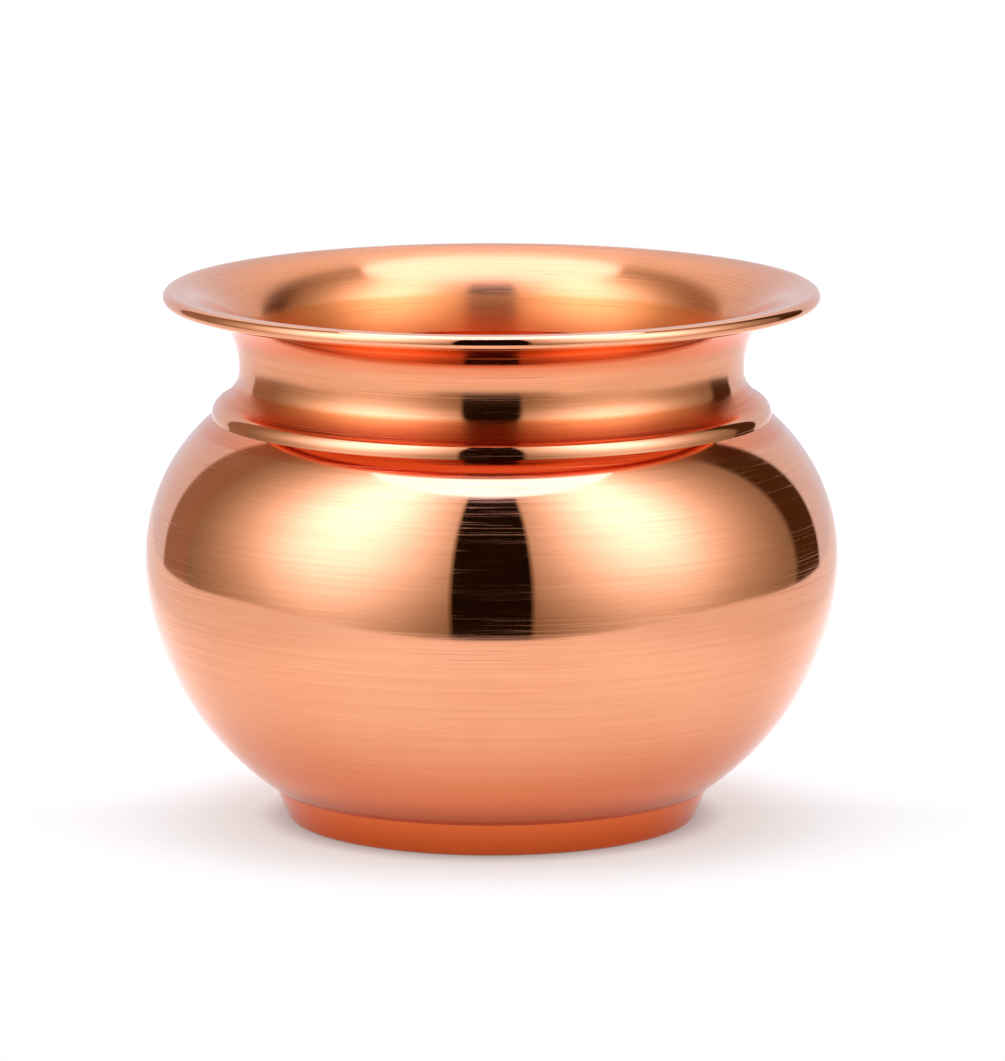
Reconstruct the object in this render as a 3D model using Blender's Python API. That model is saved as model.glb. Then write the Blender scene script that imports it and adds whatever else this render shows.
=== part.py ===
"""A copper kalash: a squat spun water pot with a flared, wired mouth and a tapered foot.

The pot stands on the XY plane with its axis on Z. Sections are lists of (radius, height)
points, and every piece is one section turned about the axis.
"""

import math

import bmesh
import bpy

# Driving sizes, in metres
SHEET = 0.0006  # copper sheet of the spun shells
FIT = 0.0003  # clearance between neighbouring pieces
BELLY_RADIUS = 0.0500  # widest circle of the pot
BELLY_HEIGHT = 0.0379  # height of that circle above the table
SHOULDER_ARC = 0.0268  # radius of the upper belly's curve in section
TONGUE_LAP = 0.0040  # how far the lower bowl reaches up inside the shoulder
WAIST_RADIUS = 0.0363  # narrowest circle of the neck
COVE_ARC = 0.0050  # radius of the hollow at the neck's root in section
NECK_SHEET = 0.0008  # heavier sheet of the neck, drawn thinner where the mouth flares
COLLAR_LAP = 0.0035  # how far the shoulder reaches up inside the neck
RING_SEAT = 0.0021  # width of the ring at the neck's root, resting on the shoulder
RING_ROUND = 0.0020  # rounding of the ring's upper edge
FLARE_REACH = 0.0098  # how far the mouth opens out past the waist
FLARE_RISE = 0.0110  # how far the mouth rises above the waist
WIRE_RADIUS = 0.00030  # stiffening wire inside the rolled rim
WIRE_FIT = 0.00015  # clearance of the roll round its wire
ROLL_TURN = 270.0  # degrees that the rim's sheet is rolled round the wire
FOOT_TOP_RADIUS = 0.0314  # circle where the foot meets the belly
FOOT_TOP_HEIGHT = 0.0049  # height of that circle above the table
FOOT_BASE_RADIUS = 0.02925  # foot at the table, before its edge is rounded
FOOT_SHEET = 0.0008  # heavier sheet of the foot
FOOT_ROUND = 0.0010  # rounding of the foot's lower edge
FOOT_FLANGE = 0.0030  # width of the flat that the pot stands on
BASE_RECESS = 0.0032  # height of the bowl's flat bottom above the table
FILLET = 0.0009  # length of a brazed fillet along the sheet it lies on

# Facets
TURN_STEPS = 48
LONG_STEPS = 8
SHORT_STEPS = 4
EDGE_STEPS = 2
ROLL_STEPS = 8
WIRE_STEPS = 8
WELD = 0.00001
SHARP_ANGLE = math.radians(40)

# Colours and finish of the metals
COPPER = (0.92, 0.42, 0.24, 1.0)
WIRE_COPPER = (0.85, 0.40, 0.24, 1.0)
BRAZE_ALLOY = (0.80, 0.56, 0.28, 1.0)
BRUSHED = 0.18
DRAWN = 0.30
AS_BRAZED = 0.40


def polar(centre, radius, degrees):
    """The point at a distance and direction from a centre, both in the section plane."""
    angle = math.radians(degrees)
    return (
        centre[0] + radius * math.cos(angle),
        centre[1] + radius * math.sin(angle),
    )


def arc(centre, reach, rise, start, end, steps):
    """Points along a stretch of an ellipse, or of a circle where reach equals rise."""
    points = []
    for step in range(steps + 1):
        angle = math.radians(start + (end - start) * step / steps)
        points.append(
            (
                centre[0] + reach * math.cos(angle),
                centre[1] + rise * math.sin(angle),
            )
        )
    return points


def round_arc(centre, radius, start, end, steps):
    return arc(centre, radius, radius, start, end, steps)


def metal(name, colour, roughness):
    material = bpy.data.materials.new(name)
    material.use_nodes = True
    shader = material.node_tree.nodes["Principled BSDF"]
    shader.inputs["Base Color"].default_value = colour
    shader.inputs["Metallic"].default_value = 1.0
    shader.inputs["Roughness"].default_value = roughness
    return material


def turned(name, section, colour, roughness):
    """One object made by spinning a section about Z. A section that starts off the axis is a loop."""
    shape = bmesh.new()
    corners = [shape.verts.new((radius, 0.0, height)) for radius, height in section]
    sides = [shape.edges.new(pair) for pair in zip(corners, corners[1:])]
    if section[0][0] > 0.0:
        sides.append(shape.edges.new((corners[-1], corners[0])))
    bmesh.ops.spin(
        shape,
        geom=corners + sides,
        cent=(0.0, 0.0, 0.0),
        axis=(0.0, 0.0, 1.0),
        angle=math.tau,
        steps=TURN_STEPS,
        use_merge=True,
    )
    bmesh.ops.remove_doubles(shape, verts=shape.verts, dist=WELD)
    bmesh.ops.recalc_face_normals(shape, faces=shape.faces)
    mesh = bpy.data.meshes.new(name)
    shape.to_mesh(mesh)
    shape.free()
    mesh.shade_smooth()
    mesh.set_sharp_from_angle(angle=SHARP_ANGLE)
    mesh.materials.append(metal(name, colour, roughness))
    piece = bpy.data.objects.new(name, mesh)
    piece.parent = kalash
    bpy.context.scene.collection.objects.link(piece)


# The shoulder's arc and the neck's cove touch, with the neck's sheet and a clearance between
shoulder_centre = (BELLY_RADIUS - SHOULDER_ARC, BELLY_HEIGHT)
centre_distance = SHOULDER_ARC + FIT + NECK_SHEET + COVE_ARC
cove_radius_at_centre = WAIST_RADIUS + COVE_ARC
root_angle = math.degrees(
    math.acos((cove_radius_at_centre - shoulder_centre[0]) / centre_distance)
)
cove_centre = polar(shoulder_centre, centre_distance, root_angle)
waist_height = cove_centre[1]
cove_root = 180.0 + root_angle

# The collar is the shoulder's upper edge, inside the neck's cove
collar_face = COVE_ARC + NECK_SHEET + FIT
collar_end = cove_root - math.degrees(COLLAR_LAP / collar_face)

# The tongue is the lower bowl's upper edge, inside the shoulder
tongue_face = SHOULDER_ARC - SHEET - FIT
tongue_end = math.degrees(math.asin(TONGUE_LAP / tongue_face))

# The lower belly is part of an ellipse through the widest circle and the top of the foot
crease_turn = math.degrees(math.acos(FOOT_TOP_RADIUS / BELLY_RADIUS))
bowl_depth = (BELLY_HEIGHT - FOOT_TOP_HEIGHT) / math.sin(math.radians(crease_turn))


def bowl_lean(turn):
    """Degrees below the horizon that the lower belly faces at a turn of its ellipse."""
    angle = math.radians(turn)
    return math.degrees(
        math.atan2(math.sin(angle) / bowl_depth, math.cos(angle) / BELLY_RADIUS)
    )


# Below the foot's top the bowl rounds off into its flat bottom
crease_lean = bowl_lean(crease_turn)
corner_arc = (FOOT_TOP_HEIGHT - BASE_RECESS) / (1.0 - math.sin(math.radians(crease_lean)))
corner_centre = polar((FOOT_TOP_RADIUS, FOOT_TOP_HEIGHT), -corner_arc, -crease_lean)


def bowl_face(below_seam, depth):
    """A face of the lower bowl, from under the belly seam to the axis, at a depth in the sheet."""
    start_turn = math.degrees(math.asin(below_seam / bowl_depth))
    points = []
    for step in range(LONG_STEPS):
        turn = start_turn + (crease_turn - start_turn) * step / LONG_STEPS
        angle = math.radians(turn)
        on_ellipse = (
            BELLY_RADIUS * math.cos(angle),
            BELLY_HEIGHT - bowl_depth * math.sin(angle),
        )
        points.append(polar(on_ellipse, -depth, -bowl_lean(turn)))
    points += round_arc(corner_centre, corner_arc - depth, -crease_lean, -90.0, SHORT_STEPS)
    points.append((0.0, BASE_RECESS + depth))
    return points


def lower_bowl():
    """The lower half of the belly, stepped inward at its top to slide inside the shoulder."""
    knee_drop = FIT + SHEET / 2
    joggle_drop = knee_drop + 2 * SHEET
    tongue_inside = tongue_face - SHEET
    section = bowl_face(joggle_drop, SHEET)[::-1]
    section.append((shoulder_centre[0] + tongue_inside, BELLY_HEIGHT - knee_drop))
    section += round_arc(shoulder_centre, tongue_inside, 0.0, tongue_end, EDGE_STEPS)
    section += round_arc(shoulder_centre, tongue_face, tongue_end, 0.0, EDGE_STEPS)
    section.append((shoulder_centre[0] + tongue_face, BELLY_HEIGHT - FIT))
    section += bowl_face(FIT, 0.0)
    turned("lower_bowl", section, COPPER, BRUSHED)


def shoulder_shell():
    """The upper half of the belly, turned up at its top into a collar inside the neck."""
    section = round_arc(cove_centre, collar_face, collar_end, cove_root, SHORT_STEPS)
    section += round_arc(shoulder_centre, SHOULDER_ARC, root_angle, 0.0, LONG_STEPS)[1:]
    section += round_arc(shoulder_centre, SHOULDER_ARC - SHEET, 0.0, root_angle, LONG_STEPS)
    section += round_arc(cove_centre, collar_face + SHEET, cove_root, collar_end, SHORT_STEPS)[1:]
    turned("shoulder_shell", section, COPPER, BRUSHED)


# The rim rolls outward round its wire where the flare has become level
flare_centre = (WAIST_RADIUS + FLARE_REACH, waist_height)
roll_inside = WIRE_RADIUS + WIRE_FIT
roll_centre = (flare_centre[0], waist_height + FLARE_RISE - roll_inside)


def mouth_neck():
    """Neck and flared mouth: a ring standing on the shoulder, a cove, a waist and a rolled rim."""
    seat_arc = SHOULDER_ARC + FIT
    ring_radius = shoulder_centre[0] + seat_arc * math.cos(math.radians(root_angle)) + RING_SEAT
    ring_foot = math.degrees(math.acos((ring_radius - shoulder_centre[0]) / seat_arc))
    round_from_cove = cove_centre[0] - (ring_radius - RING_ROUND)
    ring_turn = math.degrees(math.acos(round_from_cove / (COVE_ARC + RING_ROUND)))
    round_centre = polar(cove_centre, COVE_ARC + RING_ROUND, 180.0 + ring_turn)
    roll_end = 90.0 - ROLL_TURN
    section = round_arc(roll_centre, roll_inside, roll_end, 90.0, ROLL_STEPS)
    section += arc(flare_centre, FLARE_REACH, FLARE_RISE, 90.0, 180.0, LONG_STEPS)[1:]
    section += round_arc(cove_centre, COVE_ARC, 180.0, 180.0 + ring_turn, SHORT_STEPS)[1:]
    section += round_arc(round_centre, RING_ROUND, ring_turn, 0.0, SHORT_STEPS)[1:]
    section += round_arc(shoulder_centre, seat_arc, ring_foot, root_angle, EDGE_STEPS)
    section += round_arc(cove_centre, COVE_ARC + NECK_SHEET, cove_root, 180.0, SHORT_STEPS)[1:]
    throat_reach = FLARE_REACH + NECK_SHEET
    section += arc(flare_centre, throat_reach, FLARE_RISE + SHEET, 180.0, 90.0, LONG_STEPS)[1:]
    section += round_arc(roll_centre, roll_inside + SHEET, 90.0, roll_end, ROLL_STEPS)[1:]
    turned("mouth_neck", section, COPPER, BRUSHED)


def rim_wire():
    """The wire that the rim is rolled round, which keeps the mouth round and stiff."""
    full_turn = 360.0
    section = round_arc(roll_centre, WIRE_RADIUS, full_turn, 0.0, WIRE_STEPS)[1:]
    turned("rim_wire", section, WIRE_COPPER, DRAWN)


# The foot leans inward going down, and its scarfed upper edge lies against the bowl
foot_top = polar((FOOT_TOP_RADIUS, FOOT_TOP_HEIGHT), FIT, -crease_lean)
foot_lean = math.degrees(math.atan2(foot_top[0] - FOOT_BASE_RADIUS, foot_top[1]))
seat_face = corner_arc + FIT


def seat_lean(depth):
    """Degrees below the horizon where a line at a depth inside the foot's face meets its seat."""
    crease_reach = math.cos(math.radians(crease_lean - foot_lean))
    return foot_lean + math.degrees(math.acos(crease_reach - depth / seat_face))


def foot_ring():
    """A tapered band under the belly, its lower edge turned in to a flat that the pot stands on."""
    lean = math.radians(foot_lean)
    round_radius = FOOT_BASE_RADIUS - FOOT_ROUND * (1.0 - math.sin(lean)) / math.cos(lean)
    flange_edge = round_radius - FOOT_FLANGE
    bend_radius = FOOT_BASE_RADIUS + FOOT_SHEET * (math.sin(lean) - 1.0) / math.cos(lean)
    section = round_arc((round_radius, FOOT_ROUND), FOOT_ROUND, -foot_lean, -90.0, SHORT_STEPS)
    section.append((flange_edge, 0.0))
    section.append((flange_edge, FOOT_SHEET))
    section.append((bend_radius, FOOT_SHEET))
    section += round_arc(corner_centre, seat_face, -seat_lean(FOOT_SHEET), -crease_lean, EDGE_STEPS)
    turned("foot_ring", section, COPPER, BRUSHED)


def brazed_fillet(name, centre, face, edge, away, thickness):
    """A ring of filler along the edge of a lap: it lies on a face and against the lap's end."""
    start = edge + away * math.degrees(FIT / face)
    end = start + away * math.degrees(FILLET / face)
    section = [
        polar(centre, face, start),
        polar(centre, face + thickness, start),
        polar(centre, face, end),
    ]
    turned(name, section, BRAZE_ALLOY, AS_BRAZED)


def foot_braze():
    """Filler in the wedge between the inside of the foot and the bowl."""
    start = seat_lean(FOOT_SHEET + FIT)
    end = start + math.degrees(FILLET / seat_face)
    apex = polar(corner_centre, seat_face, -start)
    section = [
        apex,
        polar(corner_centre, seat_face, -end),
        polar(apex, FILLET, -90.0 - foot_lean),
    ]
    turned("foot_braze", section, BRAZE_ALLOY, AS_BRAZED)


for thing in list(bpy.data.objects):
    bpy.data.objects.remove(thing)
kalash = bpy.data.objects.new("kalash", None)
bpy.context.scene.collection.objects.link(kalash)

lower_bowl()
shoulder_shell()
mouth_neck()
rim_wire()
foot_ring()
brazed_fillet("belly_braze", shoulder_centre, tongue_face, tongue_end, 1, -SHEET)
brazed_fillet("neck_braze", cove_centre, collar_face, collar_end, -1, SHEET)
foot_braze()
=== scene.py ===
"""The looks of a copper kalash: a squat spun water pot with a wired mouth and a tapered foot.

Lengths are in metres. Sections are lists of (radius, height) points, turned about the pot's axis, Z.
"""

import math

import bpy
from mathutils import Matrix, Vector


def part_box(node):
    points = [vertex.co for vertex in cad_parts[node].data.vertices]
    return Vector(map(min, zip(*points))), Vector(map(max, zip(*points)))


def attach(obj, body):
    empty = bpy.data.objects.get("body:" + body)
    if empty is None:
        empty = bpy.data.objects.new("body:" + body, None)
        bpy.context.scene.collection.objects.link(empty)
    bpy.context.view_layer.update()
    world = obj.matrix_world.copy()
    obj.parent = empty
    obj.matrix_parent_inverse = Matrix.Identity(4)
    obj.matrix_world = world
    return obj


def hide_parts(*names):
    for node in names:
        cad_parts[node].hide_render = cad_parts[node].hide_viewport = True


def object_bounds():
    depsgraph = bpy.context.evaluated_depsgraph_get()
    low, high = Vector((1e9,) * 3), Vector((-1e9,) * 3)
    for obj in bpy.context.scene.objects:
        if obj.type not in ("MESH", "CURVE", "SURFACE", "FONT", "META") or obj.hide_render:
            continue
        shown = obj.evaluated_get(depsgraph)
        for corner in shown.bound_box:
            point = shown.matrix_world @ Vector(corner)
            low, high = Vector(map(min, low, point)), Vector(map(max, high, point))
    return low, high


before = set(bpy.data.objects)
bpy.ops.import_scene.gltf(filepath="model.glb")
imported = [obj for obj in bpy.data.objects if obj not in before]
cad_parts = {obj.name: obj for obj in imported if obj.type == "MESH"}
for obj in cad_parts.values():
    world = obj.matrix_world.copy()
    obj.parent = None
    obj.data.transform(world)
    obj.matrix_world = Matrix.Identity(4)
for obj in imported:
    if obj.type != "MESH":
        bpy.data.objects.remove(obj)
cad_low, cad_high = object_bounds()
bpy.context.scene.view_settings.view_transform = "Standard"


# Lower bowl
# The lower half of the belly, spun from copper sheet over a former and polished as it turns.
# Its top edge is stepped inward to slide up inside the shoulder, and its bottom is flat.
SHEET = 0.0006
SEAM = 0.00001  # what is left of the gap at a seam that is brazed and polished over
TONGUE_LAP = 0.0040
FOOT_SHADE_TOP = 0.0240  # how high above the table the painted shade on the bowl and foot reaches
FOOT_SHADE_FULL = 0.0010  # the height below which that painted shade is deepest
SHOULDER_ARC = 0.0268
FOOT_TOP_RADIUS = 0.0314
FOOT_TOP_HEIGHT = 0.0049
FULL_ARC_STEPS = 120
SHORT_ARC_STEPS = 32
EDGE_ARC_STEPS = 12
STEPS_AROUND = 192
POLE_WELD = 0.0000005
SHARP_EDGE = math.radians(35)

shoulder_low, shoulder_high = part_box("shoulder_shell")
belly_radius = shoulder_high.x
belly_height = shoulder_low.z
base_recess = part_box("lower_bowl")[0].z
shoulder_centre = (belly_radius - SHOULDER_ARC, belly_height)


def polar(centre, radius, degrees):
    """The point at a distance and direction from a centre, both in the section plane."""
    angle = math.radians(degrees)
    return (centre[0] + radius * math.cos(angle), centre[1] + radius * math.sin(angle))


def eased(step, steps):
    """A share from 0 to 1 that crowds at both ends, so that shading runs smoothly over a seam."""
    return (1.0 - math.cos(math.pi * step / steps)) / 2


def arc(centre, reach, rise, start, end, steps):
    """Points along a stretch of an ellipse, or of a circle where reach equals rise."""
    points = []
    for step in range(steps + 1):
        angle = math.radians(start + (end - start) * eased(step, steps))
        points.append((centre[0] + reach * math.cos(angle), centre[1] + rise * math.sin(angle)))
    return points


def round_arc(centre, radius, start, end, steps):
    """Points along a stretch of a circle."""
    return arc(centre, radius, radius, start, end, steps)


def add_node(tree, kind, links, **settings):
    """Adds a node. Each of its inputs takes a value, or a link where an output socket is given."""
    node = tree.nodes.new(kind)
    for name, value in settings.items():
        setattr(node, name, value)
    for name, value in links.items():
        if isinstance(value, bpy.types.NodeSocket):
            tree.links.new(value, node.inputs[name])
        else:
            node.inputs[name].default_value = value
    return node


def linear(colour):
    """An sRGB hex colour as the linear RGBA that a socket takes."""
    channels = []
    for place in (1, 3, 5):
        share = int(colour[place:place + 2], 16) / 255
        channels.append(share / 12.92 if share <= 0.04045 else ((share + 0.055) / 1.055) ** 2.4)
    return (*channels, 1.0)


def turning_tree():
    """Turns a section about Z, as a spinning lathe does, and keeps the length along the section."""
    tree = bpy.data.node_groups.new("Turn a section", "GeometryNodeTree")
    sockets = tree.interface
    sockets.new_socket("Section", in_out="INPUT", socket_type="NodeSocketGeometry")
    sockets.new_socket("Steps Around", in_out="INPUT", socket_type="NodeSocketInt")
    sockets.new_socket("Turning Radius", in_out="INPUT", socket_type="NodeSocketFloat")
    sockets.new_socket("Pole Weld", in_out="INPUT", socket_type="NodeSocketFloat")
    sockets.new_socket("Metal", in_out="INPUT", socket_type="NodeSocketMaterial")
    sockets.new_socket("Piece", in_out="OUTPUT", socket_type="NodeSocketGeometry")
    given = tree.nodes.new("NodeGroupInput").outputs
    section = add_node(tree, "GeometryNodeMeshToCurve", {"Mesh": given["Section"]})
    length = add_node(tree, "GeometryNodeSplineParameter", {}).outputs["Length"]
    marked = add_node(
        tree,
        "GeometryNodeStoreNamedAttribute",
        {"Geometry": section.outputs["Curve"], "Name": "along", "Value": length},
        data_type="FLOAT",
        domain="POINT",
    )
    inward = add_node(
        tree,
        "ShaderNodeMath",
        {0: given["Turning Radius"], 1: -1.0},
        operation="MULTIPLY",
    )
    offset = add_node(tree, "ShaderNodeCombineXYZ", {"X": inward.outputs["Value"]})
    upright = add_node(
        tree,
        "GeometryNodeTransform",
        {
            "Geometry": marked.outputs["Geometry"],
            "Translation": offset.outputs["Vector"],
            "Rotation": (math.pi / 2, 0.0, 0.0),
        },
    )
    circle = add_node(
        tree,
        "GeometryNodeCurvePrimitiveCircle",
        {"Resolution": given["Steps Around"], "Radius": given["Turning Radius"]},
    )
    turned_mesh = add_node(
        tree,
        "GeometryNodeCurveToMesh",
        {"Curve": circle.outputs["Curve"], "Profile Curve": upright.outputs["Geometry"]},
    )
    welded = add_node(
        tree,
        "GeometryNodeMergeByDistance",
        {"Geometry": turned_mesh.outputs["Mesh"], "Distance": given["Pole Weld"]},
    )
    smooth = add_node(tree, "GeometryNodeSetShadeSmooth", {"Geometry": welded.outputs["Geometry"]})
    real = add_node(tree, "GeometryNodeRealizeInstances", {"Geometry": smooth.outputs["Geometry"]})
    finished = add_node(
        tree,
        "GeometryNodeSetMaterial",
        {"Geometry": real.outputs["Geometry"], "Material": given["Metal"]},
    )
    result = tree.nodes.new("NodeGroupOutput")
    tree.links.new(finished.outputs["Geometry"], result.inputs["Piece"])
    return tree


turning = turning_tree()


def ramp(value, start, end):
    """A share that runs smoothly from 0 at the start to 1 at the end."""
    share = min(max((value - start) / (end - start), 0.0), 1.0)
    return share * share * (3.0 - 2.0 * share)


def polished(point):
    """The finish at a point of a face: how much painted shade it has, and how dull it is, which also
    gives it the deeper orange of painted reflection, from 0 to 1.
    """
    return (0.0, 0.0)


def brushed(point):
    """The finish inside the pot, where the polishing wheel doesn't reach: dull, with the deeper orange
    of painted reflection.
    """
    return (0.0, 1.0)


def turned(name, outside, inside, metal, outer_finish=polished, inner_finish=brushed):
    """A piece made by turning a section that runs down its outer face and back up its inner one."""
    section = outside + inside
    edges = [(place, place + 1) for place in range(len(section) - 1)]
    if section[0][0] > 0.0:
        edges.append((len(section) - 1, 0))
    mesh = bpy.data.meshes.new(name + "_section")
    mesh.from_pydata([(radius, 0.0, height) for radius, height in section], edges, [])
    finish = [outer_finish(point) for point in outside] + [inner_finish(point) for point in inside]
    for mark, shares in zip(("painted_shade", "dull_and_painted_reflection"), zip(*finish)):
        mesh.attributes.new(mark, "FLOAT", "POINT").data.foreach_set("value", shares)
    piece = bpy.data.objects.new(name, mesh)
    bpy.context.scene.collection.objects.link(piece)
    modifier = piece.modifiers.new("Turning", "NODES")
    modifier.node_group = turning
    values = {
        "Steps Around": STEPS_AROUND,
        "Turning Radius": belly_radius,
        "Pole Weld": POLE_WELD,
        "Metal": metal,
    }
    for socket in turning.interface.items_tree:
        if socket.in_out == "INPUT" and socket.name in values:
            modifier[socket.identifier] = values[socket.name]
    evaluated = piece.evaluated_get(bpy.context.evaluated_depsgraph_get())
    solid = bpy.data.meshes.new_from_object(evaluated)
    solid.name = name
    solid.set_sharp_from_angle(angle=SHARP_EDGE)
    piece.modifiers.remove(modifier)
    piece.data = solid
    bpy.data.meshes.remove(mesh)
    return piece


def spun_copper():
    """Spun copper, polished on the lathe: a warm mirror with fine lines round the pot.

    It is dull inside and in hollows, where it is only brushed, and there its deeper golden orange is
    painted reflection of copper in copper. A redder, darker painted shade lies at the foot, beside the
    neck's ring, in the neck's hollow and towards the rim.
    """
    LIGHT_TONE = "#F6AB82"
    DEEP_TONE = "#F0A178"
    # a deeper orange where the copper is dull: painted reflection of copper in copper
    PAINTED_REFLECTION_TONE = "#F29558"
    # a redder, darker tone: painted shade at the foot, beside the neck's ring, in the neck's hollow and
    # towards the rim
    PAINTED_SHADE_TONE = "#E66E38"
    POLISH = 0.05
    LINE_PITCH = 0.00050  # polishing lines are finer, and are drawn this coarse to show
    STREAK = 0.030  # how far one polishing line runs round the pot
    LINE_SPAN = (0.69, 0.79)  # the peaks of the noise that make the lines
    LINE_POLISH = 0.12  # what a line adds to the roughness
    GRAIN_PITCH = 0.00012  # finer lines, which show in dark reflections
    GRAIN_SPAN = (0.595, 0.655)
    GRAIN_POLISH = 0.18
    DULL_SPAN = (0.0, 1.0)
    DULL_POLISH = 0.24  # what brushing adds to the roughness
    LINE_DEPTH = 0.0000012
    DENT_WIDTH = 0.016  # shallow unevenness of hand-spun sheet
    DENT_DEPTH = 0.000012
    BLOOM_WIDTH = 0.022  # faint patches where the bare copper has begun to tone
    STREAK_SHARE = 0.6  # how much of the change of tone follows the lines, not the patches
    TONE_SPAN = (0.40, 0.60)
    LINES_ROUND = 0.25  # the quarter turn that sets the blur across the polishing lines

    material = bpy.data.materials.new("polished spun copper")
    material.use_nodes = True
    tree = material.node_tree
    shader = tree.nodes["Principled BSDF"]
    # The marks that come with each piece: the length along its section, how dull it is with its painted
    # reflection, and its painted shade.
    along, dull_and_painted_reflection, painted_shade = (
        add_node(tree, "ShaderNodeAttribute", {}, attribute_name=name).outputs["Fac"]
        for name in ("along", "dull_and_painted_reflection", "painted_shade")
    )
    place = add_node(tree, "ShaderNodeTexCoord", {}).outputs["Object"]
    across = add_node(tree, "ShaderNodeSeparateXYZ", {"Vector": place}).outputs
    unrolled = add_node(
        tree, "ShaderNodeCombineXYZ", {"X": across["X"], "Y": across["Y"], "Z": along}
    )

    def drawn_noise(pitch):
        """Noise drawn out round the pot, with a pitch along the section."""
        drawn_out = add_node(
            tree,
            "ShaderNodeVectorMath",
            {0: unrolled.outputs["Vector"], 1: (1 / STREAK, 1 / STREAK, 1 / pitch)},
            operation="MULTIPLY",
        )
        noise = add_node(
            tree,
            "ShaderNodeTexNoise",
            {"Vector": drawn_out.outputs["Vector"], "Scale": 1.0, "Detail": 3.0, "Roughness": 0.6},
        )
        return noise.outputs["Fac"]

    lines = drawn_noise(LINE_PITCH)
    grain = drawn_noise(GRAIN_PITCH)
    dents = add_node(
        tree, "ShaderNodeTexNoise", {"Vector": place, "Scale": 1 / DENT_WIDTH, "Detail": 1.0}
    ).outputs["Fac"]
    bloom = add_node(
        tree, "ShaderNodeTexNoise", {"Vector": place, "Scale": 1 / BLOOM_WIDTH, "Detail": 4.0}
    ).outputs["Fac"]
    clouded = add_node(
        tree, "ShaderNodeMix", {0: STREAK_SHARE, 2: bloom, 3: lines}, data_type="FLOAT"
    ).outputs[0]
    streaked = add_node(
        tree,
        "ShaderNodeMapRange",
        {"Value": clouded, "From Min": TONE_SPAN[0], "From Max": TONE_SPAN[1]},
    ).outputs["Result"]
    tone = linear(LIGHT_TONE)
    # The tone runs from polished copper, streaked at random, to the orange of painted reflection where
    # it is dull and the red of painted shade.
    for share, next_tone in ((streaked, DEEP_TONE), (dull_and_painted_reflection, PAINTED_REFLECTION_TONE), (painted_shade, PAINTED_SHADE_TONE)):
        mixed = add_node(
            tree, "ShaderNodeMix", {0: share, 6: tone, 7: linear(next_tone)}, data_type="RGBA"
        )
        tone = mixed.outputs[2]
    roughness = POLISH
    for mark, span, added in (
        (lines, LINE_SPAN, LINE_POLISH),
        (grain, GRAIN_SPAN, GRAIN_POLISH),
        (dull_and_painted_reflection, DULL_SPAN, DULL_POLISH),
    ):
        marked = add_node(
            tree, "ShaderNodeMapRange", {"Value": mark, "From Min": span[0], "From Max": span[1]}
        )
        roughness = add_node(
            tree,
            "ShaderNodeMath",
            {0: marked.outputs["Result"], 1: added, 2: roughness},
            operation="MULTIPLY_ADD",
        ).outputs["Value"]
    uneven = add_node(tree, "ShaderNodeBump", {"Height": dents, "Distance": DENT_DEPTH})
    grooved = add_node(
        tree,
        "ShaderNodeBump",
        {"Height": lines, "Distance": LINE_DEPTH, "Normal": uneven.outputs["Normal"]},
    )
    around = add_node(tree, "ShaderNodeTangent", {}, direction_type="RADIAL", axis="Z")
    shader.inputs["Metallic"].default_value = 1.0
    shader.inputs["Anisotropic"].default_value = 1.0
    shader.inputs["Anisotropic Rotation"].default_value = LINES_ROUND
    for socket, output in (
        ("Base Color", tone),
        ("Roughness", roughness),
        ("Normal", grooved.outputs["Normal"]),
        ("Tangent", around.outputs["Tangent"]),
    ):
        tree.links.new(output, shader.inputs[socket])
    return material


crease_turn = math.degrees(math.acos(FOOT_TOP_RADIUS / belly_radius))
bowl_depth = (belly_height - FOOT_TOP_HEIGHT) / math.sin(math.radians(crease_turn))


def bowl_lean(turn):
    """Degrees below the horizon that the lower belly faces at a turn of its ellipse."""
    angle = math.radians(turn)
    return math.degrees(math.atan2(math.sin(angle) / bowl_depth, math.cos(angle) / belly_radius))


crease_lean = bowl_lean(crease_turn)
corner_arc = (FOOT_TOP_HEIGHT - base_recess) / (1.0 - math.sin(math.radians(crease_lean)))
corner_centre = polar((FOOT_TOP_RADIUS, FOOT_TOP_HEIGHT), -corner_arc, -crease_lean)


def bowl_face(below_seam, depth):
    """A face of the lower bowl, from under the belly seam to the axis, at a depth in the sheet."""
    start_turn = math.degrees(math.asin(below_seam / bowl_depth))
    points = []
    for step in range(FULL_ARC_STEPS):
        turn = start_turn + (crease_turn - start_turn) * eased(step, FULL_ARC_STEPS)
        angle = math.radians(turn)
        on_ellipse = (
            belly_radius * math.cos(angle),
            belly_height - bowl_depth * math.sin(angle),
        )
        points.append(polar(on_ellipse, -depth, -bowl_lean(turn)))
    points += round_arc(corner_centre, corner_arc - depth, -crease_lean, -90.0, SHORT_ARC_STEPS)
    flat_edge = points[-1][0]
    for ring in range(SHORT_ARC_STEPS - 1, -1, -1):
        points.append((flat_edge * ring / SHORT_ARC_STEPS, base_recess + depth))
    return points


tongue_face = SHOULDER_ARC - SHEET - SEAM
tongue_end = math.degrees(math.asin(TONGUE_LAP / tongue_face))
knee_drop = SEAM + SHEET / 2
joggle_drop = knee_drop + 2 * SHEET
bowl_inside = bowl_face(joggle_drop, SHEET)[::-1]
bowl_inside.append((shoulder_centre[0] + tongue_face - SHEET, belly_height - knee_drop))
bowl_inside += round_arc(shoulder_centre, tongue_face - SHEET, 0.0, tongue_end, EDGE_ARC_STEPS)
bowl_inside += round_arc(shoulder_centre, tongue_face, tongue_end, 0.0, EDGE_ARC_STEPS)
bowl_outside = bowl_face(SEAM, 0.0)


def foot_painted_shade(point):
    """Painted shade: the copper is redder and darker towards the table, on the foot and the bottom of
    the bowl.
    """
    return (1.0 - ramp(point[1], FOOT_SHADE_FULL, FOOT_SHADE_TOP), 0.0)


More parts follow.
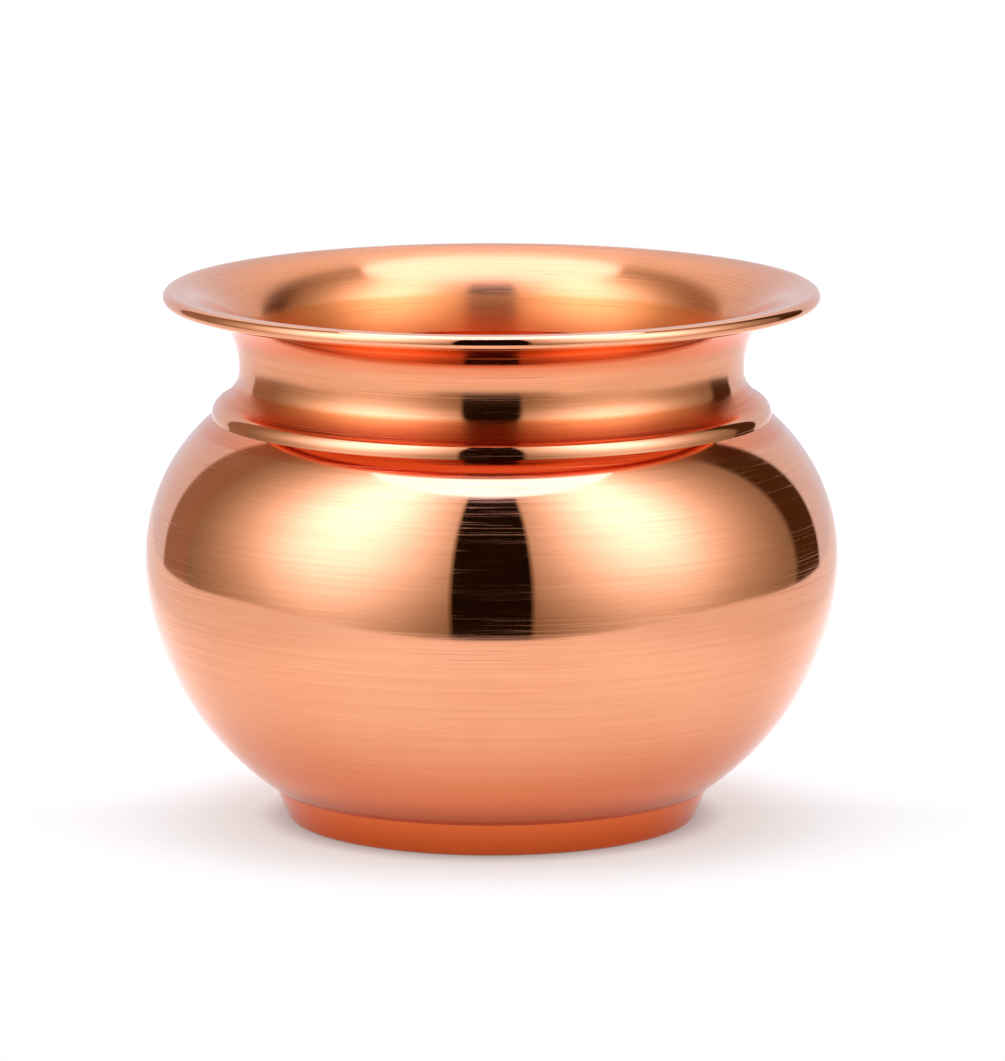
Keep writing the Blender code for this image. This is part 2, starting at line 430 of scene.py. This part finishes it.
belly_copper = spun_copper()
lower_bowl = turned("spun_lower_bowl", bowl_outside, bowl_inside, belly_copper, foot_painted_shade)
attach(lower_bowl, "root")
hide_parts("lower_bowl")


# Foot
# A tapered band of heavier copper sheet, spun, scarfed to the bowl at its top and turned in below
# to a flat that the pot stands on. It is brazed to the bowl from inside.
FOOT_BASE_RADIUS = 0.02925
FOOT_SHEET = 0.0008
FOOT_ROUND = 0.0010
FOOT_FLANGE = 0.0030

foot_top = polar((FOOT_TOP_RADIUS, FOOT_TOP_HEIGHT), SEAM, -crease_lean)
foot_lean = math.degrees(math.atan2(foot_top[0] - FOOT_BASE_RADIUS, foot_top[1]))
seat_face = corner_arc + SEAM


def seat_lean(depth):
    """Degrees below the horizon where a line at a depth inside the foot's face meets its seat."""
    crease_reach = math.cos(math.radians(crease_lean - foot_lean))
    return foot_lean + math.degrees(math.acos(crease_reach - depth / seat_face))


foot_slope = math.radians(foot_lean)
round_radius = FOOT_BASE_RADIUS - FOOT_ROUND * (1.0 - math.sin(foot_slope)) / math.cos(foot_slope)
flange_edge = round_radius - FOOT_FLANGE
bend_radius = FOOT_BASE_RADIUS + FOOT_SHEET * (math.sin(foot_slope) - 1.0) / math.cos(foot_slope)
round_start = polar((round_radius, FOOT_ROUND), FOOT_ROUND, -foot_lean)
foot_outside = []
for step in range(SHORT_ARC_STEPS):
    share = eased(step, SHORT_ARC_STEPS)
    foot_outside.append(tuple(top + (end - top) * share for top, end in zip(foot_top, round_start)))
foot_outside += round_arc((round_radius, FOOT_ROUND), FOOT_ROUND, -foot_lean, -90.0, EDGE_ARC_STEPS)
foot_inside = [(flange_edge, 0.0), (flange_edge, FOOT_SHEET), (bend_radius, FOOT_SHEET)]
foot_seat = round_arc(corner_centre, seat_face, -seat_lean(FOOT_SHEET), -crease_lean, EDGE_ARC_STEPS)
foot_inside += foot_seat[:-1]

foot = turned("spun_foot", foot_outside, foot_inside, belly_copper, foot_painted_shade)
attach(foot, "root")
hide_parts("foot_ring")


# Foot braze
# Brass filler that has run into the wedge between the bowl and the inside of the foot.
# It was melted in with a torch, so it is dull and slightly lumpy.
FILLET = 0.0009


def run_braze():
    """Brazing brass as it set: paler and yellower than the copper, satin, with torch ripples."""
    DARK_BRASS = "#A8763A"
    PALE_BRASS = "#E0BC72"
    SATIN = 0.42
    RIPPLE_WIDTH = 0.0016
    RIPPLE_HEIGHT = 0.00006

    material = bpy.data.materials.new("brazing brass as run")
    material.use_nodes = True
    tree = material.node_tree
    shader = tree.nodes["Principled BSDF"]
    place = add_node(tree, "ShaderNodeTexCoord", {}).outputs["Object"]
    ripples = add_node(
        tree, "ShaderNodeTexNoise", {"Vector": place, "Scale": 1 / RIPPLE_WIDTH, "Detail": 3.0}
    ).outputs["Fac"]
    tone = add_node(tree, "ShaderNodeValToRGB", {"Fac": ripples})
    tone.color_ramp.elements[0].color = linear(DARK_BRASS)
    tone.color_ramp.elements[1].color = linear(PALE_BRASS)
    raised = add_node(tree, "ShaderNodeBump", {"Height": ripples, "Distance": RIPPLE_HEIGHT})
    shader.inputs["Metallic"].default_value = 1.0
    shader.inputs["Roughness"].default_value = SATIN
    tree.links.new(tone.outputs["Color"], shader.inputs["Base Color"])
    tree.links.new(raised.outputs["Normal"], shader.inputs["Normal"])
    return material


braze_brass = run_braze()
fillet_start = seat_lean(FOOT_SHEET + SEAM)
fillet_end = fillet_start + math.degrees(FILLET / seat_face)
fillet_apex = polar(corner_centre, seat_face, -fillet_start)
foot_fillet = [
    polar(fillet_apex, FILLET, -90.0 - foot_lean),
    polar(corner_centre, seat_face, -fillet_end),
]
foot_braze = turned("foot_braze_run", [fillet_apex], foot_fillet, braze_brass)
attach(foot_braze, "root")
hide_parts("foot_braze")


# Shoulder
# The upper half of the belly, spun from the same sheet. It slips over the bowl's tongue, and its
# top is turned up into a collar that the neck fits over.
FIT = 0.0003  # braze-filled gap between the collar and the neck
WAIST_RADIUS = 0.0363
COVE_ARC = 0.0050
NECK_SHEET = 0.0008
COLLAR_LAP = 0.0035
RING_SEAT = 0.0021
ROOT_SHADE = 0.6  # how strong the painted shade is on the shoulder beside the neck's ring
ROOT_SHADE_CLOSE = 0.0012  # full as far out from the ring as this
ROOT_SHADE_REACH = 0.0026  # and gone at this

centre_distance = SHOULDER_ARC + FIT + NECK_SHEET + COVE_ARC
root_reach = WAIST_RADIUS + COVE_ARC - shoulder_centre[0]
root_angle = math.degrees(math.acos(root_reach / centre_distance))
cove_centre = polar(shoulder_centre, centre_distance, root_angle)
cove_root = 180.0 + root_angle
collar_face = COVE_ARC + NECK_SHEET + FIT
collar_end = cove_root - math.degrees(COLLAR_LAP / collar_face)

shoulder_outside = round_arc(cove_centre, collar_face, collar_end, cove_root, EDGE_ARC_STEPS)
shoulder_outside += round_arc(shoulder_centre, SHOULDER_ARC, root_angle, 0.0, FULL_ARC_STEPS)[1:]
shoulder_inside = round_arc(shoulder_centre, SHOULDER_ARC - SHEET, 0.0, root_angle, FULL_ARC_STEPS)
shoulder_inside += round_arc(cove_centre, collar_face + SHEET, cove_root, collar_end, EDGE_ARC_STEPS)[1:]

root_radius = shoulder_centre[0] + (SHOULDER_ARC + FIT) * math.cos(math.radians(root_angle))
ring_radius = root_radius + RING_SEAT


def root_painted_shade(point):
    """Painted shade: the shoulder is redder and darker in the crease next to the neck's ring."""
    return (ROOT_SHADE * (1.0 - ramp(point[0], ring_radius + ROOT_SHADE_CLOSE, ring_radius + ROOT_SHADE_REACH)), 0.0)


shoulder = turned("spun_shoulder", shoulder_outside, shoulder_inside, belly_copper, root_painted_shade)
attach(shoulder, "root")
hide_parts("shoulder_shell")


# Belly braze
# Brass filler along the top of the bowl's tongue, where it holds the two halves of the belly.
# It lies inside the pot, and the seam outside is polished away.


def lap_fillet(name, centre, face, edge, away, thickness):
    """A ring of filler along the edge of a lap: it lies on a face and against the lap's end."""
    start = edge + away * math.degrees(SEAM / face)
    end = start + away * math.degrees(FILLET / face)
    piece = turned(
        name,
        [polar(centre, face, start)],
        [polar(centre, face + thickness, start), polar(centre, face, end)],
        braze_brass,
    )
    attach(piece, "root")
    return piece


belly_braze = lap_fillet("belly_braze_run", shoulder_centre, tongue_face, tongue_end, 1, -SHEET)
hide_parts("belly_braze")


# Mouth and neck
# One sheet, spun into a ring that sits on the shoulder, a hollow, a waist and a wide flare.
# The flare's edge is rolled outward round a wire to make the bead of the rim.
RING_ROUND = 0.0020
FLARE_REACH = 0.0098
ROLL_INSIDE = 0.00045
ROLL_END = -180.0
ROLL_ARC_STEPS = 56
BRUSHED_TOP = 0.0712  # the height where the brushed throat gives way to the flare
BRUSHED_FADE = 0.0010
# The dull shares below make the copper rougher and give it the deeper orange of painted reflection; the
# hollow and rim shares are painted shade.
FLARE_DULL_AND_REFLECTION = 0.55
HOLLOW_SHADE = 0.55
HOLLOW_DULL_AND_REFLECTION = 0.7
HOLLOW_LOW = 0.0603  # heights that the hollow lies between
HOLLOW_TOP = 0.0640
HOLLOW_FADE = 0.0010
WAIST_DULL_AND_REFLECTION = 0.25
WAIST_TOP = 0.0695
RIM_SHADE = 0.75
RIM_SHADE_LOW = 0.0680  # heights over which painted shade deepens up the flare towards the rim
RIM_SHADE_TOP = 0.0722

waist_height = cove_centre[1]
flare_rise = cad_high.z - SHEET - waist_height
flare_centre = (WAIST_RADIUS + FLARE_REACH, waist_height)
roll_centre = (flare_centre[0], waist_height + flare_rise - ROLL_INSIDE)
seat_arc = SHOULDER_ARC + SEAM
ring_foot = math.degrees(math.acos((ring_radius - shoulder_centre[0]) / seat_arc))
round_from_cove = cove_centre[0] - (ring_radius - RING_ROUND)
ring_turn = math.degrees(math.acos(round_from_cove / (COVE_ARC + RING_ROUND)))
ring_round_centre = polar(cove_centre, COVE_ARC + RING_ROUND, 180.0 + ring_turn)

neck_outside = round_arc(roll_centre, ROLL_INSIDE, ROLL_END, 90.0, ROLL_ARC_STEPS)
neck_outside += arc(flare_centre, FLARE_REACH, flare_rise, 90.0, 180.0, FULL_ARC_STEPS)[1:]
neck_outside += round_arc(cove_centre, COVE_ARC, 180.0, 180.0 + ring_turn, SHORT_ARC_STEPS)[1:]
neck_outside += round_arc(ring_round_centre, RING_ROUND, ring_turn, 0.0, SHORT_ARC_STEPS)[1:]
neck_seat = round_arc(shoulder_centre, seat_arc, ring_foot, root_angle, EDGE_ARC_STEPS)
neck_seat += round_arc(cove_centre, COVE_ARC + NECK_SHEET, cove_root, 180.0, SHORT_ARC_STEPS)[1:]
neck_inside = arc(
    flare_centre, FLARE_REACH + NECK_SHEET, flare_rise + SHEET, 180.0, 90.0, FULL_ARC_STEPS
)[1:]
neck_inside += round_arc(roll_centre, ROLL_INSIDE + SHEET, 90.0, ROLL_END, ROLL_ARC_STEPS)[1:]


def band(value, start, end, fade):
    """A share that is 1 between two values and fades to 0 inside both ends."""
    return ramp(value, start, start + fade) - ramp(value, end - fade, end)


def hollow_finish_and_shade(point):
    """The hollow is brushed and given painted shade, the waist is lightly brushed, and painted shade
    deepens up the flare towards the rim. Brushed parts also take the deeper orange of painted
    reflection.
    """
    height = point[1]
    hollow = band(height, HOLLOW_LOW, HOLLOW_TOP, HOLLOW_FADE)
    waist = band(height, HOLLOW_LOW, WAIST_TOP, HOLLOW_FADE)
    painted_shade = HOLLOW_SHADE * hollow + RIM_SHADE * ramp(height, RIM_SHADE_LOW, RIM_SHADE_TOP)
    return (painted_shade, HOLLOW_DULL_AND_REFLECTION * hollow + WAIST_DULL_AND_REFLECTION * waist)


def throat_finish_and_reflection(point):
    """The throat is only brushed, the flare above it is half polished, and the rim is polished. Brushed
    parts take the deeper orange of painted reflection.
    """
    dull_and_painted_reflection = 1.0 + (FLARE_DULL_AND_REFLECTION - 1.0) * ramp(point[1], BRUSHED_TOP - BRUSHED_FADE, BRUSHED_TOP)
    return (0.0, dull_and_painted_reflection * (1.0 - ramp(point[0], roll_centre[0] - 2 * ROLL_INSIDE, roll_centre[0])))


neck = turned(
    "spun_neck", neck_outside + neck_seat, neck_inside, belly_copper, hollow_finish_and_shade, throat_finish_and_reflection
)
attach(neck, "root")
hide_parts("mouth_neck")


# Neck braze
# Brass filler along the top of the shoulder's collar, where it holds the neck on the shoulder.
# It is run in with a torch, like that in the belly, and left as it set.
neck_face = COVE_ARC + NECK_SHEET + SEAM
neck_braze = lap_fillet("neck_braze_run", cove_centre, neck_face, collar_end, -1, SHEET)
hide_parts("neck_braze")


# Rim wire
# A hard-drawn copper wire, closed into a ring, that the rim is rolled round to keep it stiff.
# The roll holds it and hides it.
WIRE_RADIUS = 0.00030
WIRE_ARC_STEPS = 24


def drawn_wire():
    """Drawn copper: a satin skin with faint die lines along the wire, a little browner than sheet."""
    BROWN_SKIN = "#C98462"
    BRIGHT_SKIN = "#EDAE8C"
    SATIN = 0.30
    DIE_LINE = 0.00012

    material = bpy.data.materials.new("drawn copper wire")
    material.use_nodes = True
    tree = material.node_tree
    shader = tree.nodes["Principled BSDF"]
    along = add_node(tree, "ShaderNodeAttribute", {}, attribute_name="along").outputs["Fac"]
    lines = add_node(
        tree,
        "ShaderNodeTexNoise",
        {"W": along, "Scale": 1 / DIE_LINE, "Detail": 2.0},
        noise_dimensions="1D",
    ).outputs["Fac"]
    skin = add_node(tree, "ShaderNodeValToRGB", {"Fac": lines})
    skin.color_ramp.elements[0].color = linear(BROWN_SKIN)
    skin.color_ramp.elements[1].color = linear(BRIGHT_SKIN)
    shader.inputs["Metallic"].default_value = 1.0
    shader.inputs["Roughness"].default_value = SATIN
    tree.links.new(skin.outputs["Color"], shader.inputs["Base Color"])
    return material


wire_section = round_arc(roll_centre, WIRE_RADIUS, 360.0, 0.0, WIRE_ARC_STEPS)[1:]
rim_wire = turned("drawn_rim_wire", wire_section, [], drawn_wire())
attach(rim_wire, "root")
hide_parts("rim_wire")


# Floor
# A plain sheet of pale paper that the pot stands on, shown as white. Its front edge is near the
# pot, as on a small product table, and the polished belly shows that edge.
# The paper carries painted light behind the pot, painted shade at both sides and a painted contact
# shadow round the foot.
FLOOR_FRONT = 0.145
FLOOR_SIDE = 0.250
FLOOR_BACK = 0.55
PAPER_TONE = "#B2AFA4"
FAR_PAINTED_LIGHT_TONE = "#E0DED8"  # painted light: the paper is paler behind the pot
FAR_START = 0.0
FAR_FULL = 0.070
SIDE_PAINTED_SHADE_TONE = "#9E9B92"  # painted shade: the paper is greyer out at both sides
SIDE_START = 0.070
SIDE_FULL = 0.130
PAPER_LIFT = 0.47  # what brings the lit paper up to white, as a photograph's exposure does
NEAR_LIFT = 0.22  # the lift close to the foot, which is less: a painted contact shadow round the foot
NEAR_START = 0.0285
NEAR_END = 0.0350
PAPER_MATT = 0.9
FLOOR_EDGE_STEPS = 48


def matt_paper():
    """Matt paper without gloss, lifted to white for the camera and in the metal's reflections, with
    painted light behind the pot, painted shade at both sides and a painted contact shadow round the
    foot.
    """
    material = bpy.data.materials.new("matt white paper")
    material.use_nodes = True
    tree = material.node_tree
    sockets = tree.nodes["Principled BSDF"].inputs
    place = add_node(tree, "ShaderNodeTexCoord", {}).outputs["Object"]
    across = add_node(tree, "ShaderNodeSeparateXYZ", {"Vector": place}).outputs
    aside = add_node(tree, "ShaderNodeMath", {0: across["X"]}, operation="ABSOLUTE").outputs["Value"]
    tone = linear(PAPER_TONE)
    # The tone carries painted light behind the pot and painted shade at both sides.
    for reach, start, end, next_tone in (
        (across["Y"], FAR_START, FAR_FULL, FAR_PAINTED_LIGHT_TONE),
        (aside, SIDE_START, SIDE_FULL, SIDE_PAINTED_SHADE_TONE),
    ):
        share = add_node(
            tree, "ShaderNodeMapRange", {"Value": reach, "From Min": start, "From Max": end}
        ).outputs["Result"]
        mixed = add_node(
            tree, "ShaderNodeMix", {0: share, 6: tone, 7: linear(next_tone)}, data_type="RGBA"
        )
        tone = mixed.outputs[2]
    tree.links.new(tone, sockets["Base Color"])
    # Less lift round the foot paints a contact shadow there.
    from_axis = add_node(tree, "ShaderNodeVectorMath", {0: place}, operation="LENGTH").outputs["Value"]
    open_lift = add_node(
        tree,
        "ShaderNodeMapRange",
        {
            "Value": from_axis,
            "From Min": NEAR_START,
            "From Max": NEAR_END,
            "To Min": NEAR_LIFT,
            "To Max": PAPER_LIFT,
        },
        interpolation_type="SMOOTHSTEP",
    ).outputs["Result"]
    sockets["Roughness"].default_value = PAPER_MATT
    sockets["Specular IOR Level"].default_value = 0.0
    sockets["Emission Color"].default_value = linear("#FFFFFF")
    sight = add_node(tree, "ShaderNodeLightPath", {}).outputs
    seen = sight["Is Camera Ray"]
    for kind in ("Is Glossy Ray", "Is Transmission Ray"):
        either = add_node(tree, "ShaderNodeMath", {0: seen, 1: sight[kind]}, operation="MAXIMUM")
        seen = either.outputs[0]
    lift = add_node(tree, "ShaderNodeMath", {0: seen, 1: open_lift}, operation="MULTIPLY").outputs[0]
    tree.links.new(lift, sockets["Emission Strength"])
    return material


floor_points = [(FLOOR_SIDE, FLOOR_BACK, 0.0), (-FLOOR_SIDE, FLOOR_BACK, 0.0)]
for step in range(FLOOR_EDGE_STEPS + 1):
    turn = math.pi * (1.0 + step / FLOOR_EDGE_STEPS)
    floor_points.append((FLOOR_SIDE * math.cos(turn), FLOOR_FRONT * math.sin(turn), 0.0))
floor_mesh = bpy.data.meshes.new("floor")
floor_mesh.from_pydata(floor_points, [], [range(len(floor_points))])
floor_mesh.materials.append(matt_paper())
floor = bpy.data.objects.new("floor", floor_mesh)
bpy.context.scene.collection.objects.link(floor)


# Light tent
# White cloth all round the pot, with a lamp behind it on each side and a lit panel on top. It has a
# slit for the camera and a brown pole at each side of the back. The camera itself sees past it.
TENT_RADIUS = 0.60
TENT_BOTTOM = -25.0  # places on the tent are in degrees from the camera's side and the horizon
TENT_TOP = 63.0
CLOTH_LEVEL = 0.07
SIDE_CLOTH = 0.15  # what the cloth beside the poles adds to that
SIDE_CLOTH_START = 75.0
SIDE_CLOTH_FULL = 105.0
LAMP_AROUND = 55.5
LAMP_ABOVE = 45.0
SPREAD_FRONT = 37.0
SPREAD_REAR = 34.5
SPREAD_ABOVE = 60.0
SPREAD_BELOW = 54.0
LEFT_LAMP = 2.7
RIGHT_LAMP = 2.35
CORE_LEVEL = 0.8
CORE_SHARE = 0.45  # how wide the hot middle of a lamp is, against the whole
HOTTEST = 2.9  # the level that the cloth evens a lamp's middle out to
EVENING = 4  # how suddenly it does so
GREEN_POWER = 1.12  # thin light through the cloth is warm, and strong light is cool
BLUE_POWER = 1.35
HEM_TOP = -18.0  # the cloth's lit lower edge
HEM_FADE = 5.0
HEM_LEVEL = 1.1
HEM_START = 18.0
HEM_FULL = 38.0
HEM_FALL = 75.0
HEM_END = 95.0
SLIT_HALF = 13.0
SLIT_LEVEL = 0.010
POLE_START = 116.0
POLE_END = 134.0
POLE_TOP = 36.0
POLE_FADE = 20.0  # the cloth covers the poles' tops
LEFT_POLE = (0.33, 0.23, 0.17)
RIGHT_POLE = (0.07, 0.035, 0.013)
BACK_GLOW = (0.76, 0.80, 0.90)
BACK_RISE = 0.4  # how much lighter the back is at the top
BACK_RISE_START = 20.0
BACK_RISE_FULL = 50.0
PANEL_GLOW = (2.6, 2.9, 4.2)
EDGE_BLUR = 1.0
AROUND_STEP = 1
ABOVE_STEPS = 44


def lamp_glow(side, above, spread):
    """The share of a lamp's light that comes through the cloth in a direction."""
    width = SPREAD_FRONT if side < LAMP_AROUND else SPREAD_REAR
    off_around = (side - LAMP_AROUND) / (width * spread)
    reach = SPREAD_ABOVE if above > LAMP_ABOVE else SPREAD_BELOW
    off_above = (above - LAMP_ABOVE) / (reach * spread)
    return math.exp(-off_around ** 2 - off_above ** 2)


def tent_glow(around, above):
    """The cloth's light in a direction, in degrees from the camera's side and the horizon."""
    side = abs(around)
    lamp = LEFT_LAMP if around < 0.0 else RIGHT_LAMP
    level = CLOTH_LEVEL + SIDE_CLOTH * ramp(side, SIDE_CLOTH_START, SIDE_CLOTH_FULL)
    level += lamp * lamp_glow(side, above, 1.0)
    level += CORE_LEVEL * lamp_glow(side, above, CORE_SHARE)
    level /= (1.0 + (level / HOTTEST) ** EVENING) ** (1 / EVENING)
    hem = ramp(side, HEM_START, HEM_FULL) * (1.0 - ramp(side, HEM_FALL, HEM_END))
    hem *= ramp(above, HEM_TOP, HEM_TOP - HEM_FADE)
    level += (HEM_LEVEL - level) * hem
    level += (SLIT_LEVEL - level) * (1.0 - ramp(side, SLIT_HALF - EDGE_BLUR, SLIT_HALF + EDGE_BLUR))
    pole = ramp(side, POLE_START - 2 * EDGE_BLUR, POLE_START + 2 * EDGE_BLUR)
    pole *= 1.0 - ramp(above, POLE_TOP, POLE_TOP + POLE_FADE)
    back = ramp(side, POLE_END - EDGE_BLUR, POLE_END + EDGE_BLUR)
    cloth = (level, level ** GREEN_POWER, level ** BLUE_POWER)
    rise = 1.0 + BACK_RISE * ramp(above, BACK_RISE_START, BACK_RISE_FULL)
    brown = LEFT_POLE if around < 0.0 else RIGHT_POLE
    glow = []
    for channel in range(3):
        shade = cloth[channel] + (brown[channel] - cloth[channel]) * pole
        glow.append(shade + (BACK_GLOW[channel] * rise - shade) * back)
    return (*glow, 1.0)


tent_points = []
tent_faces = []
tent_levels = []
columns = 360 // AROUND_STEP
for column in range(columns + 1):
    around = -180.0 + column * AROUND_STEP
    turn = math.radians(around)
    for row in range(ABOVE_STEPS + 1):
        above = TENT_BOTTOM + (TENT_TOP - TENT_BOTTOM) * row / ABOVE_STEPS
        height = belly_height + TENT_RADIUS * math.tan(math.radians(above))
        tent_points.append((TENT_RADIUS * math.sin(turn), -TENT_RADIUS * math.cos(turn), height))
        tent_levels += tent_glow(around, above)
for column in range(columns):
    for row in range(ABOVE_STEPS):
        corner = column * (ABOVE_STEPS + 1) + row
        beside = corner + ABOVE_STEPS + 1
        tent_faces.append((corner, beside, beside + 1, corner + 1))
panel_start = len(tent_points)
for column in range(columns):
    turn = math.radians(column * AROUND_STEP)
    tent_points.append((TENT_RADIUS * math.sin(turn), -TENT_RADIUS * math.cos(turn), height))
    tent_levels += (*PANEL_GLOW, 1.0)
tent_faces.append(range(panel_start, panel_start + columns))
tent_mesh = bpy.data.meshes.new("light_tent")
tent_mesh.from_pydata(tent_points, [], tent_faces)
tent_mesh.attributes.new("glow", "FLOAT_COLOR", "POINT").data.foreach_set("color", tent_levels)
tent_cloth = bpy.data.materials.new("glowing tent cloth")
tent_cloth.use_nodes = True
cloth_tree = tent_cloth.node_tree
cloth_tree.nodes.clear()
cloth_glow = add_node(cloth_tree, "ShaderNodeAttribute", {}, attribute_name="glow").outputs["Color"]
cloth_light = add_node(cloth_tree, "ShaderNodeEmission", {"Color": cloth_glow})
add_node(cloth_tree, "ShaderNodeOutputMaterial", {"Surface": cloth_light.outputs["Emission"]})
tent_mesh.materials.append(tent_cloth)
tent = bpy.data.objects.new("light_tent", tent_mesh)
tent.visible_camera = False
bpy.context.scene.collection.objects.link(tent)


# Backdrop
# Plain white all round, behind the pot and the edge of the floor.
BACKDROP_WHITE = "#FFFFFF"

backdrop = bpy.data.worlds.new("white backdrop")
backdrop.use_nodes = True
backdrop.node_tree.nodes["Background"].inputs["Color"].default_value = linear(BACKDROP_WHITE)
bpy.context.scene.world = backdrop


# Camera
# It stands a little above the rim, more than a metre away, with a long lens.
CAMERA_DISTANCE = 1.176
CAMERA_ELEVATION = math.radians(10.1)
FOCAL_PIXELS = 8161.0
SENSOR = 36.0  # millimetres along the picture's longer side
PICTURE_WIDTH = 1005
PICTURE_HEIGHT = 1061
SIGHTED_HEIGHT = 0.0385  # a point on the pot's axis, and the pixel where the picture has it
SIGHTED_COLUMN = 491.6
SIGHTED_ROW = 552.0

sighted = Vector((0.0, 0.0, SIGHTED_HEIGHT))
camera_up = Vector((0.0, math.sin(CAMERA_ELEVATION), math.cos(CAMERA_ELEVATION)))
camera_back = Vector((0.0, -math.cos(CAMERA_ELEVATION), math.sin(CAMERA_ELEVATION)))
pixel = CAMERA_DISTANCE / FOCAL_PIXELS
aim = sighted + Vector(((PICTURE_WIDTH / 2 - SIGHTED_COLUMN) * pixel, 0.0, 0.0))
aim += camera_up * (SIGHTED_ROW - PICTURE_HEIGHT / 2) * pixel
lens = bpy.data.cameras.new("long lens")
lens.sensor_width = SENSOR
lens.lens = FOCAL_PIXELS * SENSOR / PICTURE_HEIGHT
camera = bpy.data.objects.new("camera", lens)
camera.location = sighted + camera_back * CAMERA_DISTANCE
camera.rotation_euler = (aim - camera.location).to_track_quat("-Z", "Y").to_euler()
bpy.context.scene.collection.objects.link(camera)
bpy.context.scene.camera = camera


bpy.context.view_layer.update()
